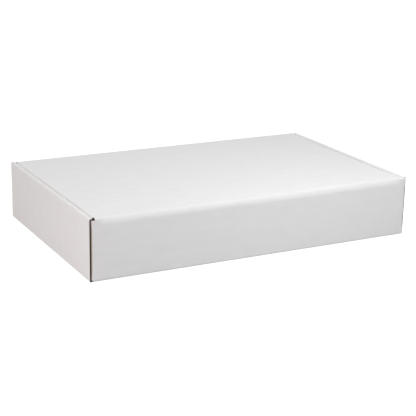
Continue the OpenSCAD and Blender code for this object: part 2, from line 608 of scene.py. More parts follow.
@dataclass(frozen=True)
class Grain:
    """How finely a paper's mesh is divided, and how far it stops short of some raw edges.

    The recess is at the raw edges that run along the flutes, where a cut leaves the last
    flute open between the liners.
    """

    crease_steps: int
    corner_steps: int
    spacing: float = 0.0
    margin: float = 3.0
    recess: float = 0.0

    def lines(self, low: float, high: float, keys: Iterable[float]) -> np.ndarray:
        """Finds the lines of vertices between two positions.

        Args:
            low: Lowest position.
            high: Highest position.
            keys: Positions that have to be among them.

        Returns:
            Sorted positions, with both ends and the even spacing if there is one.
        """
        keys = np.unique(np.round([low, high, *keys], LINE_DECIMALS))
        keys = keys[(keys >= round(low, LINE_DECIMALS)) & (keys <= round(high, LINE_DECIMALS))]
        if not self.spacing:
            return keys
        even = np.arange(math.ceil(low / self.spacing), math.floor(high / self.spacing) + 1) * self.spacing
        # An even line less than a quarter of the spacing from a key would make slivers.
        clear = np.abs(even[:, None] - keys[None, :]).min(axis=1) > self.spacing / 4
        return np.unique(np.round(np.concatenate((keys, even[clear])), LINE_DECIMALS))


def rounded_edge(
    root: float, tip: float, length: float, radius: float, inward: int, steps: int
) -> np.ndarray:
    """Lays out one slanted edge of a flap and its rounded corner at the tip.

    Args:
        root: Place of the edge at the flap's crease.
        tip: Place at which it would meet the tip without a round.
        length: Length of the flap.
        radius: Radius of the round.
        inward: Which way the flap lies from the edge, 1 or -1.
        steps: Facets of the round.

    Returns:
        Points of the edge: distance from the crease, and place.
    """
    slope = math.atan2((tip - root) * inward, length)
    centre = np.array([length - radius, 0.0])
    centre[1] = root + inward * (centre[0] * math.tan(slope) + radius / math.cos(slope))
    angles = np.linspace(slope, math.pi / 2, steps + 1)
    arc = [(centre[0] + radius * math.sin(a), centre[1] - inward * radius * math.cos(a)) for a in angles]
    arc[0] = (centre[0] - radius * math.sin(slope), arc[0][1])
    return np.array([(0.0, root), *arc])


def flap_stations(start: float, edges: Sequence[np.ndarray], extra: Iterable[float] = ()) -> np.ndarray:
    """Turns the two edges of a flap into stations along it.

    Args:
        start: Where the flap starts along the blank.
        edges: Its low and its high edge, as rounded_edge gives them.
        extra: More distances from the crease that need a station.

    Returns:
        Stations: position along the blank, low edge and high edge.
    """
    places = np.unique(np.round([*edges[0][:, 0], *edges[1][:, 0], *extra], LINE_DECIMALS))
    low, high = (np.interp(places, edge[:, 0], edge[:, 1]) for edge in edges)
    return np.column_stack((start + places, low, high))


def even_stations(positions: np.ndarray, low: float, high: float) -> np.ndarray:
    """Stations of a stretch whose two edges are parallel."""
    return np.column_stack((positions, np.full(len(positions), low), np.full(len(positions), high)))


def between(positions: np.ndarray, low: float, high: float) -> np.ndarray:
    """The positions from low to high, both ends among them."""
    positions = positions[(positions > low + SAME_PLACE) & (positions < high - SAME_PLACE)]
    return np.concatenate(([low], positions, [high]))


class FlatMesh:
    """A part of the blank as a flat mesh, ready to be folded at any depth of the board."""

    def __init__(self, blank: Blank, grain: Grain) -> None:
        """Starts an empty mesh.

        Args:
            blank: The blank that it is cut from.
            grain: How finely it is divided.
        """
        self.blank = blank
        self.grain = grain
        self.found: dict[tuple[float, float], int] = {}
        self.folds: list[int] = []
        self.faces: list[list[int]] = []

    def point(self, x: float, y: float, fold: Fold) -> int:
        """Finds the vertex at a point of the blank, and makes it where there is none yet.

        Args:
            x: X of the point.
            y: Y of the point.
            fold: How its stretch is folded, which counts where the vertex is new.

        Returns:
            The vertex's index.
        """
        key = (round(float(x), SIZE_DECIMALS), round(float(y), SIZE_DECIMALS))
        if key not in self.found:
            self.found[key] = len(self.found)
            self.folds.append(fold.value)
        return self.found[key]

    def add(
        self,
        fold: Fold,
        stations: np.ndarray,
        rows: np.ndarray,
        signs: tuple[int, int] = (1, 1),
        holes: Sequence[tuple[float, float, float, float]] = (),
    ) -> None:
        """Adds a stretch of board, ruled between two edges.

        Args:
            fold: How the stretch is folded. A lengthwise one has its stations along Y, any
                other along X.
            stations: Position, low edge and high edge of each cut through the stretch.
            rows: Lines of vertices along the stretch, cut off at its edges.
            signs: Signs of X and Y.
            holes: Low and high X and low and high Y of each cut-out.
        """
        across = np.clip(rows[None, :], stations[:, 1:2], stations[:, 2:3])
        along = np.broadcast_to(stations[:, :1], across.shape)
        x, y = (across, along) if fold is Fold.LENGTHWISE else (along, across)
        x, y = x * signs[0], y * signs[1]
        index = [[self.point(x[i, j], y[i, j], fold) for j in range(x.shape[1])] for i in range(x.shape[0])]
        for i in range(x.shape[0] - 1):
            for j in range(x.shape[1] - 1):
                loop = [index[i][j], index[i + 1][j], index[i + 1][j + 1], index[i][j + 1]]
                loop = [v for k, v in enumerate(loop) if v != loop[k - 1]]
                corners_x = (x[i, j], x[i + 1, j], x[i + 1, j + 1], x[i, j + 1])
                corners_y = (y[i, j], y[i + 1, j], y[i + 1, j + 1], y[i, j + 1])
                size = min(max(corners) - min(corners) for corners in (corners_x, corners_y))
                if len(set(loop)) < 3 or size < SAME_PLACE:
                    continue
                middle_x, middle_y = sum(corners_x) / 4, sum(corners_y) / 4
                if any(a < middle_x < b and c < middle_y < d for a, b, c, d in holes):
                    continue
                self.faces.append(loop)

    @property
    def flat(self) -> np.ndarray:
        """X and Y of the vertices in the flat blank."""
        return np.array(list(self.found))

    def folded(self, depth: float) -> np.ndarray:
        """Folds the vertices.

        Args:
            depth: Their depth below the white face.

        Returns:
            X, Y and Z of each in the closed box.
        """
        flat, kinds = self.flat, np.array(self.folds)
        places = np.zeros((len(flat), 3))
        for fold in Fold:
            chosen = kinds == fold.value
            if chosen.any():
                places[chosen] = self.blank.fold(flat[chosen], depth, fold)
        return places

    def rim(self) -> list[tuple[int, int]]:
        """Finds the edges that only one face has, in that face's direction."""
        edges = {(loop[k - 1], loop[k]) for loop in self.faces for k in range(len(loop))}
        return [edge for edge in edges if (edge[1], edge[0]) not in edges]

    def oriented(self) -> None:
        """Turns every face the same way round in the flat blank."""
        flat = self.flat
        for number, loop in enumerate(self.faces):
            ring = flat[loop]
            after = np.roll(ring, -1, axis=0)
            if (ring[:, 0] * after[:, 1] - ring[:, 1] * after[:, 0]).sum() < 0:
                self.faces[number] = loop[::-1]

    def liner(
        self, name: str, depths: tuple[float, float], finishes: Sequence[bpy.types.Material]
    ) -> bpy.types.Object:
        """Folds the mesh into a liner: two faces and the cut edges between them.

        Args:
            name: Name of the piece.
            depths: Depths of its two faces below the board's white face.
            finishes: Materials of its outer face, its inner face and its cut edges.

        Returns:
            The piece, as a closed mesh.
        """
        self.oriented()
        count = len(self.found)
        vertices = np.concatenate([self.folded(depth) for depth in depths]) * MM
        faces = [loop[::-1] for loop in self.faces]
        faces += [[v + count for v in loop] for loop in self.faces]
        faces += [[a, b, b + count, a + count] for a, b in self.rim()]
        which = np.minimum(np.arange(len(faces)) // len(self.faces), 2).astype(np.int32)
        mesh = bpy.data.meshes.new(name)
        mesh.from_pydata(vertices.tolist(), [], faces)
        for finish in finishes:
            mesh.materials.append(finish)
        mesh.polygons.foreach_set("material_index", which)
        self.mark(mesh, np.tile(self.flat, (2, 1)))
        tidy_normals(mesh)
        return show(name, mesh)

    def mark(self, mesh: bpy.types.Mesh, flat: np.ndarray) -> None:
        """Writes each corner's place in the blank on a mesh, as a UV map in millimetres.

        Args:
            mesh: The folded mesh.
            flat: X and Y of each of its vertices in the blank.
        """
        corners = np.zeros(len(mesh.loops), np.int32)
        mesh.loops.foreach_get("vertex_index", corners)
        layer = mesh.uv_layers.new(name=BLANK_MAP)
        layer.data.foreach_set("uv", flat[corners].astype(np.float32).ravel())

    def fluting(
        self, name: str, board: Board, press: "FlutePress", finish: bpy.types.Material
    ) -> bpy.types.Object:
        """Folds the mesh at the board's middle and presses it into flutes.

        Args:
            name: Name of the piece.
            board: The board that it is in.
            press: The node tree that presses the flutes.
            finish: Material of the medium.

        Returns:
            The piece, as a closed mesh.
        """
        self.oriented()
        middle = board.thickness / 2
        probe = board.medium
        places = self.folded(middle)
        inward = (self.folded(middle + probe) - places) / probe
        mesh = bpy.data.meshes.new(name + "_flat")
        mesh.from_pydata((places * MM).tolist(), [], self.faces)
        self.mark(mesh, self.flat)
        across = mesh.attributes.new(FlutePress.ACROSS, "FLOAT", "POINT")
        across.data.foreach_set("value", (self.flat[:, 1] * MM).astype(np.float32))
        direction = mesh.attributes.new(FlutePress.INWARD, "FLOAT_VECTOR", "POINT")
        direction.data.foreach_set("vector", inward.astype(np.float32).ravel())
        return press.press(name, mesh, board, finish)


def tidy_normals(mesh: bpy.types.Mesh) -> None:
    """Points a closed mesh's faces outwards and smooths it, apart from its cut edges.

    Args:
        mesh: The mesh.
    """
    work = bmesh.new()
    work.from_mesh(mesh)
    bmesh.ops.recalc_face_normals(work, faces=work.faces)
    work.to_mesh(mesh)
    work.free()
    mesh.shade_smooth()
    mesh.set_sharp_from_angle(angle=SHARP_ANGLE)
    mesh.update()


def show(name: str, mesh: bpy.types.Mesh) -> bpy.types.Object:
    """Puts a mesh in the scene at the origin.

    Args:
        name: Name of its object.
        mesh: The mesh.

    Returns:
        The object.
    """
    piece = bpy.data.objects.new(name, mesh)
    bpy.context.scene.collection.objects.link(piece)
    return piece


def linear(colour: str) -> tuple[float, float, float, float]:
    """Turns a colour from sRGB hex to linear.

    Args:
        colour: The colour as #RRGGBB.

    Returns:
        Linear red, green and blue, and an alpha of 1.
    """
    parts = [int(colour[k : k + 2], 16) / 255 for k in (1, 3, 5)]
    parts = [p / 12.92 if p <= 0.04045 else ((p + 0.055) / 1.055) ** 2.4 for p in parts]
    return (*parts, 1.0)


def add_node(
    tree: bpy.types.NodeTree,
    kind: str,
    inputs: dict[str | int, object] | None = None,
    **settings: object,
) -> bpy.types.Node:
    """Adds a node with its settings and links.

    Args:
        tree: The tree that it goes in.
        kind: Blender's name for the node.
        inputs: Inputs by name or number, each with a value or the output that feeds it.
        **settings: The node's own properties.

    Returns:
        The node.
    """
    node = tree.nodes.new(kind)
    for name, value in settings.items():
        setattr(node, name, value)
    for name, value in (inputs or {}).items():
        if isinstance(value, bpy.types.NodeSocket):
            tree.links.new(value, node.inputs[name])
        else:
            node.inputs[name].default_value = value
    return node


class FlutePress:
    """Geometry Nodes that press a sheet of medium into flutes.

    The sheet carries each vertex's distance across the flutes and its direction into the
    board, so the flutes keep their run round every crease. Unevenness is the share of their
    height that they may lose, and it drifts over patches of about this many millimetres.
    """

    ACROSS = "across_flutes"
    INWARD = "inward"
    UNEVENNESS = 0.08
    DRIFT = 25.0
    SEED = 3.0

    def __init__(self) -> None:
        """Builds the tree."""
        self.tree = bpy.data.node_groups.new("press_flutes", "GeometryNodeTree")
        sockets = self.tree.interface
        sockets.new_socket("Sheet", in_out="INPUT", socket_type="NodeSocketGeometry")
        for name in ("Pitch", "Height", "Phase", "Unevenness", "Drift", "Seed"):
            sockets.new_socket(name, in_out="INPUT", socket_type="NodeSocketFloat")
        sockets.new_socket("Finish", in_out="INPUT", socket_type="NodeSocketMaterial")
        sockets.new_socket("Flutes", in_out="OUTPUT", socket_type="NodeSocketGeometry")
        self.build()

    def build(self) -> None:
        """Adds the nodes: a wave across the flutes, slightly uneven, along the inward direction."""
        tree = self.tree
        given = add_node(tree, "NodeGroupInput").outputs
        across = add_node(tree, "GeometryNodeInputNamedAttribute", {"Name": self.ACROSS}, data_type="FLOAT")
        inward = add_node(
            tree, "GeometryNodeInputNamedAttribute", {"Name": self.INWARD}, data_type="FLOAT_VECTOR"
        )
        flutes = add_node(
            tree, "ShaderNodeMath", {0: across.outputs[0], 1: given["Pitch"]}, operation="DIVIDE"
        )
        shifted = add_node(tree, "ShaderNodeMath", {0: flutes.outputs[0], 1: given["Phase"]})
        angle = add_node(
            tree, "ShaderNodeMath", {0: shifted.outputs[0], 1: 2 * math.pi}, operation="MULTIPLY"
        )
        wave = add_node(tree, "ShaderNodeMath", {0: angle.outputs[0]}, operation="SINE")
        half = add_node(tree, "ShaderNodeMath", {0: given["Height"], 1: 0.5}, operation="MULTIPLY")
        patches = add_node(tree, "ShaderNodeMath", {0: 1.0, 1: given["Drift"]}, operation="DIVIDE")
        drift = add_node(
            tree,
            "ShaderNodeTexNoise",
            {"W": given["Seed"], "Scale": patches.outputs[0], "Detail": 1.0},
            noise_dimensions="4D",
        )
        loss = add_node(
            tree, "ShaderNodeMath", {0: drift.outputs["Fac"], 1: given["Unevenness"]}, operation="MULTIPLY"
        )
        kept = add_node(tree, "ShaderNodeMath", {0: 1.0, 1: loss.outputs[0]}, operation="SUBTRACT")
        height = add_node(
            tree, "ShaderNodeMath", {0: half.outputs[0], 1: kept.outputs[0]}, operation="MULTIPLY"
        )
        depth = add_node(
            tree, "ShaderNodeMath", {0: wave.outputs[0], 1: height.outputs[0]}, operation="MULTIPLY"
        )
        move = add_node(
            tree,
            "ShaderNodeVectorMath",
            {0: inward.outputs[0], "Scale": depth.outputs[0]},
            operation="SCALE",
        )
        pressed = add_node(
            tree, "GeometryNodeSetPosition", {"Geometry": given["Sheet"], "Offset": move.outputs[0]}
        )
        real = add_node(tree, "GeometryNodeRealizeInstances", {"Geometry": pressed.outputs[0]})
        dressed = add_node(
            tree, "GeometryNodeSetMaterial", {"Geometry": real.outputs[0], "Material": given["Finish"]}
        )
        add_node(tree, "NodeGroupOutput", {"Flutes": dressed.outputs[0]})

    def press(
        self, name: str, mesh: bpy.types.Mesh, board: Board, finish: bpy.types.Material
    ) -> bpy.types.Object:
        """Presses a sheet and gives it its thickness.

        Args:
            name: Name of the piece.
            mesh: The folded sheet, with the two attributes that the tree reads.
            board: The board that the medium is in.
            finish: Material of the medium.

        Returns:
            The fluted medium as a plain closed mesh.
        """
        top, bottom = board.depths(Paper.FLUTES)
        sheet = show(name + "_sheet", mesh)
        modifier = sheet.modifiers.new("press_flutes", "NODES")
        modifier.node_group = self.tree
        values = {
            "Pitch": board.flute_pitch * MM,
            "Height": (bottom - top - board.medium) * MM,
            "Phase": 0.0,
            "Unevenness": self.UNEVENNESS,
            "Drift": self.DRIFT * MM,
            "Seed": self.SEED,
            "Finish": finish,
        }
        for item in self.tree.interface.items_tree:
            if item.name in values:
                modifier[item.identifier] = values[item.name]
        wall = sheet.modifiers.new("paper_thickness", "SOLIDIFY")
        wall.thickness = board.medium * MM
        wall.offset = 0.0
        shaped = sheet.evaluated_get(bpy.context.evaluated_depsgraph_get())
        result = bpy.data.meshes.new_from_object(shaped)
        result.name = name
        for attribute in (self.ACROSS, self.INWARD):
            result.attributes.remove(result.attributes[attribute])
        bpy.data.objects.remove(sheet)
        bpy.data.meshes.remove(mesh)
        tidy_normals(result)
        return show(name, result)


class Finish:
    """What the paper finishes share: patterns laid out in the blank's own millimetres."""

    IOR = 1.5
    SPECULAR = 0.35

    def start(self, name: str) -> tuple[bpy.types.Material, bpy.types.NodeTree, bpy.types.NodeSocket]:
        """Starts a material.

        Args:
            name: Its name.

        Returns:
            The material, its emptied tree, and the place in the blank in millimetres.
        """
        material = bpy.data.materials.new(name)
        material.use_nodes = True
        tree = material.node_tree
        tree.nodes.clear()
        return material, tree, add_node(tree, "ShaderNodeUVMap", uv_map=BLANK_MAP).outputs["UV"]

    def noise(
        self,
        tree: bpy.types.NodeTree,
        place: bpy.types.NodeSocket,
        grain: tuple[float, float],
        detail: float,
        shift: float,
    ) -> bpy.types.NodeSocket:
        """Adds a noise pattern.

        Args:
            tree: The material's tree.
            place: Place in the blank in millimetres.
            grain: Size of its grains along X and Y, in millimetres.
            detail: Octaves of finer grain.
            shift: Distance by which the pattern is moved, so that two don't match.

        Returns:
            The noise, which averages 0.5.
        """
        scaled = add_node(
            tree,
            "ShaderNodeMapping",
            {"Vector": place, "Location": (shift, shift, 0), "Scale": (1 / grain[0], 1 / grain[1], 1)},
        )
        pattern = add_node(
            tree,
            "ShaderNodeTexNoise",
            {"Vector": scaled.outputs[0], "Scale": 1.0, "Detail": detail},
            noise_dimensions="2D",
        )
        return pattern.outputs["Fac"]

    def tones(
        self, tree: bpy.types.NodeTree, factor: bpy.types.NodeSocket, colours: Sequence[str], spread: float
    ) -> bpy.types.NodeSocket:
        """Turns a noise into colours.

        Args:
            tree: The material's tree.
            factor: The noise.
            colours: The colours from low to high.
            spread: How much of the noise on each side of 0.5 the colours span.

        Returns:
            The colour.
        """
        ramp = add_node(tree, "ShaderNodeValToRGB", {"Fac": factor})
        stops = ramp.color_ramp.elements
        while len(stops) < len(colours):
            stops.new(0.5)
        places = np.linspace(0.5 - spread, 0.5 + spread, len(colours))
        for stop, place, colour in zip(stops, places, colours):
            stop.position = place
            stop.color = linear(colour)
        return ramp.outputs["Color"]

    def washboard(self, tree: bpy.types.NodeTree, place: bpy.types.NodeSocket) -> bpy.types.NodeSocket:
        """Adds the waves that the flutes leave in a liner, from -1 to 1.

        Args:
            tree: The material's tree.
            place: Place in the blank in millimetres.

        Returns:
            The height of the waves.
        """
        across = add_node(tree, "ShaderNodeSeparateXYZ", {"Vector": place})
        turn = 2 * math.pi / FLUTE_PITCH
        angle = add_node(tree, "ShaderNodeMath", {0: across.outputs["Y"], 1: turn}, operation="MULTIPLY")
        return add_node(tree, "ShaderNodeMath", {0: angle.outputs[0]}, operation="SINE").outputs[0]

    def relief(
        self, tree: bpy.types.NodeTree, layers: Sequence[tuple[bpy.types.NodeSocket, float]]
    ) -> bpy.types.NodeSocket:
        """Adds up heights as bump.

        Args:
            tree: The material's tree.
            layers: Each pattern with its height in millimetres.

        Returns:
            The bumped normal.
        """
        total: bpy.types.NodeSocket | float = 0.0
        for pattern, height in layers:
            layer = add_node(
                tree, "ShaderNodeMath", {0: pattern, 1: height, 2: total}, operation="MULTIPLY_ADD"
            )
            total = layer.outputs[0]
        bump = add_node(tree, "ShaderNodeBump", {"Strength": 1.0, "Distance": MM, "Height": total})
        return bump.outputs["Normal"]

    def paper(
        self,
        tree: bpy.types.NodeTree,
        colour: bpy.types.NodeSocket,
        roughness: tuple[bpy.types.NodeSocket, float, float],
        normal: bpy.types.NodeSocket,
    ) -> None:
        """Adds the shader of a paper.

        Args:
            tree: The material's tree.
            colour: Its colour.
            roughness: A noise, and the roughness where it is 0 and where it is 1.
            normal: Its bumped normal.
        """
        pattern, low, high = roughness
        rough = add_node(tree, "ShaderNodeMapRange", {"Value": pattern, "To Min": low, "To Max": high})
        shader = add_node(
            tree,
            "ShaderNodeBsdfPrincipled",
            {
                "Base Color": colour,
                "Roughness": rough.outputs[0],
                "Normal": normal,
                "IOR": self.IOR,
                "Specular IOR Level": self.SPECULAR,
            },
        )
        add_node(tree, "ShaderNodeOutputMaterial", {"Surface": shader.outputs["BSDF"]})


@dataclass(frozen=True)
class WhiteLiner(Finish):
    """White-top kraft liner: bleached fibres over brown ones, calendered and uncoated.

    It gives the eye an even white, with the softest clouds of fibre drawn out along the flutes,
    the faintest waves of the flutes below, and a slight buckle. Its sizes are in millimetres.
    """

    light: str = "#E9E9E9"
    cloudy: str = "#E5E5E5"
    spread: float = 0.3
    cloud: float = 9.0
    fibre: float = 0.9
    buckle: float = 55.0
    stretch: float = 2.4
    flute_height: float = 0.006
    fibre_height: float = 0.012
    buckle_height: float = 0.5
    roughness: tuple[float, float] = (0.52, 0.66)

    def material(self) -> bpy.types.Material:
        """Builds the material.

        Returns:
            The material.
        """
        material, tree, place = self.start("white_top_liner")
        clouds = self.noise(tree, place, (self.cloud * self.stretch, self.cloud), detail=3.0, shift=11.0)
        fibres = self.noise(tree, place, (self.fibre * self.stretch, self.fibre), detail=2.0, shift=47.0)
        buckles = self.noise(tree, place, (self.buckle * self.stretch, self.buckle), detail=1.0, shift=83.0)
        colour = self.tones(tree, clouds, (self.cloudy, self.light), self.spread)
        flutes = self.washboard(tree, place)
        layers = ((flutes, self.flute_height), (fibres, self.fibre_height), (buckles, self.buckle_height))
        self.paper(tree, colour, (clouds, *self.roughness), self.relief(tree, layers))
        return material


@dataclass(frozen=True)
class KraftLiner(Finish):
    """Unbleached kraft liner: brown, matt, with long pale and dark fibres across the flutes.

    Its fibres are drawn coarse enough to show. Its sizes are in millimetres.
    """

    light: str = "#C09A6F"
    middle: str = "#B38C60"
    dark: str = "#A37C52"
    spread: float = 0.22
    cloud: float = 6.0
    fibre_length: float = 5.0
    fibre_width: float = 0.5
    flute_height: float = 0.025
    fibre_height: float = 0.02
    roughness: tuple[float, float] = (0.68, 0.82)

    def material(self) -> bpy.types.Material:
        """Builds the material.

        Returns:
            The material.
        """
        material, tree, place = self.start("kraft_liner")
        clouds = self.noise(tree, place, (self.cloud, self.cloud), detail=4.0, shift=5.0)
        fibres = self.noise(tree, place, (self.fibre_width, self.fibre_length), detail=3.0, shift=29.0)
        mixed = add_node(tree, "ShaderNodeMath", {0: clouds, 1: fibres})
        factor = add_node(tree, "ShaderNodeMath", {0: mixed.outputs[0], 1: 0.5}, operation="MULTIPLY")
        colour = self.tones(tree, factor.outputs[0], (self.dark, self.middle, self.light), self.spread)
        layers = ((self.washboard(tree, place), self.flute_height), (fibres, self.fibre_height))
        self.paper(tree, colour, (clouds, *self.roughness), self.relief(tree, layers))
        return material


@dataclass(frozen=True)
class BlotchedPaper(Finish):
    """A rough paper whose only pattern is its blotches. Its sizes are in millimetres."""

    name: str
    light: str
    dark: str
    cloud: float
    cloud_height: float
    detail: float
    shift: float
    roughness: tuple[float, float]
    spread: float = 0.25

    def material(self) -> bpy.types.Material:
        """Builds the material.

        Returns:
            The material.
        """
        material, tree, place = self.start(self.name)
        clouds = self.noise(tree, place, (self.cloud, self.cloud), self.detail, self.shift)
        normal = self.relief(tree, ((clouds, self.cloud_height),))
        colour = self.tones(tree, clouds, (self.dark, self.light), self.spread)
        self.paper(tree, colour, (clouds, *self.roughness), normal)
        return material


@dataclass(frozen=True)
class CutEdgeWithPaintedShade(BlotchedPaper):
    """Die-cut edge of kraft liner: fibres seen end on, rougher than the face; its dark brown is partly
    their own colour and partly painted shade of the narrow cut.
    """

    name: str = "die_cut_edge_painted_shade"
    # Dark browns: partly the end-on fibres' own colour, partly painted shade.
    light: str = "#584A3C"
    dark: str = "#41362B"
    cloud: float = 1.5
    cloud_height: float = 0.04
    detail: float = 3.0
    shift: float = 61.0
    roughness: tuple[float, float] = (0.85, 0.95)


@dataclass(frozen=True)
class FlutingMediumWithPaintedShade(BlotchedPaper):
    """Semichemical fluting medium: grey-brown, rough and slightly blotched, and painted darker than the
    paper's own colour with the shade of the deep open flutes at the raw edges.
    """

    name: str = "fluting_medium_painted_shade"
    # These browns are darker than the medium's own colour: painted shade for the open flutes.
    light: str = "#7A6753"
    dark: str = "#5E4D3C"
    cloud: float = 3.0
    cloud_height: float = 0.05
    detail: float = 4.0
    shift: float = 17.0
    roughness: tuple[float, float] = (0.8, 0.92)


@dataclass(frozen=True)
class Papers:
    """The materials of the board's papers."""

    white: bpy.types.Material
    kraft: bpy.types.Material
    cut_edge: bpy.types.Material
    medium: bpy.types.Material

    def of_liner(self, paper: Paper) -> list[bpy.types.Material]:
        """Finds a liner's materials. Its face on the flutes takes the medium's material, a brown darkened
        with painted shade of the open flutes.

        Args:
            paper: Which of the two liners.

        Returns:
            Materials of its outer face, its inner face and its cut edges.
        """
        # The face on the flutes: a brown underside, darkened further with painted shade through the
        # medium's material.
        if paper is Paper.OUTER_LINER:
            return [self.white, self.medium, self.cut_edge]
        return [self.medium, self.kraft, self.cut_edge]


@dataclass(frozen=True, kw_only=True)
class BoardPart:
    """A part of the box that moves as one, made of the board's three papers."""

    blank: Blank
    papers: Papers
    press: FlutePress
    name: str
    liner_grain: Grain = Grain(crease_steps=12, corner_steps=10)
    flute_grain: Grain = Grain(
        crease_steps=4, corner_steps=5, spacing=FLUTE_PITCH / FLUTE_STEPS, recess=3.0
    )

    @property
    def mailer(self) -> Mailer:
        """Sizes of the folded box."""
        return self.blank.mailer

    def cut(self, grain: Grain) -> FlatMesh:
        """Cuts the part from the blank, as a flat mesh."""
        raise NotImplementedError

    def build(self) -> None:
        """Makes the part's three papers and hands each to the part's attach, which puts it on its body
        where the part has one.
        """
        for paper in Paper:
            name = f"{self.name}_{paper.value}"
            if paper is Paper.FLUTES:
                flat = self.cut(self.flute_grain)
                piece = flat.fluting(name, self.mailer.board, self.press, self.papers.medium)
            else:
                flat = self.cut(self.liner_grain)
                piece = flat.liner(name, self.mailer.board.depths(paper), self.papers.of_liner(paper))
            self.attach(piece, paper)
            triangles = sum(len(face.vertices) - 2 for face in piece.data.polygons)
            log.info("%s: %d vertices, %d triangles", name, len(piece.data.vertices), triangles)

    def cut_side_flap(
        self,
        mesh: FlatMesh,
        fold: Fold,
        rows: np.ndarray,
        signs: tuple[int, int],
        slants: tuple[float, float],
        radius: float,
    ) -> np.ndarray:
        """Cuts a flap that runs on from a short edge: its crease and its panel.

        Args:
            mesh: The part's flat mesh.
            fold: How the flap is folded.
            rows: Lines of vertices along X, from one end of the crease to the other.
            signs: Signs of its X and Y.
            slants: How far its first and its last edge along the crease slant in.
            radius: Radius of the panel's corners.

        Returns:
            The lines of vertices round the crease.
        """
        path, grain = self.blank.side_path(fold), mesh.grain
        start, crease_end, end = path.marks
        low, high, length = rows[0], rows[-1], end - crease_end
        edges = (
            rounded_edge(low, low + slants[0], length, radius, 1, grain.corner_steps),
            rounded_edge(high, high - slants[1], length, radius, -1, grain.corner_steps),
        )
        crease = path.positions(start, crease_end, grain.crease_steps, grain.margin)
        panel = flap_stations(crease_end, edges, self.blank.soft.lines)
        mesh.add(fold, np.concatenate((even_stations(crease, low, high), panel[1:])), rows, signs)
        return crease

    def attach(self, piece: bpy.types.Object, paper: Paper) -> None:
        """Puts a piece on the body of the part's name, in place of that body's solid.

        Args:
            piece: The piece.
            paper: The paper that it is.
        """
        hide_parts(self.name)
        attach(piece, self.name)


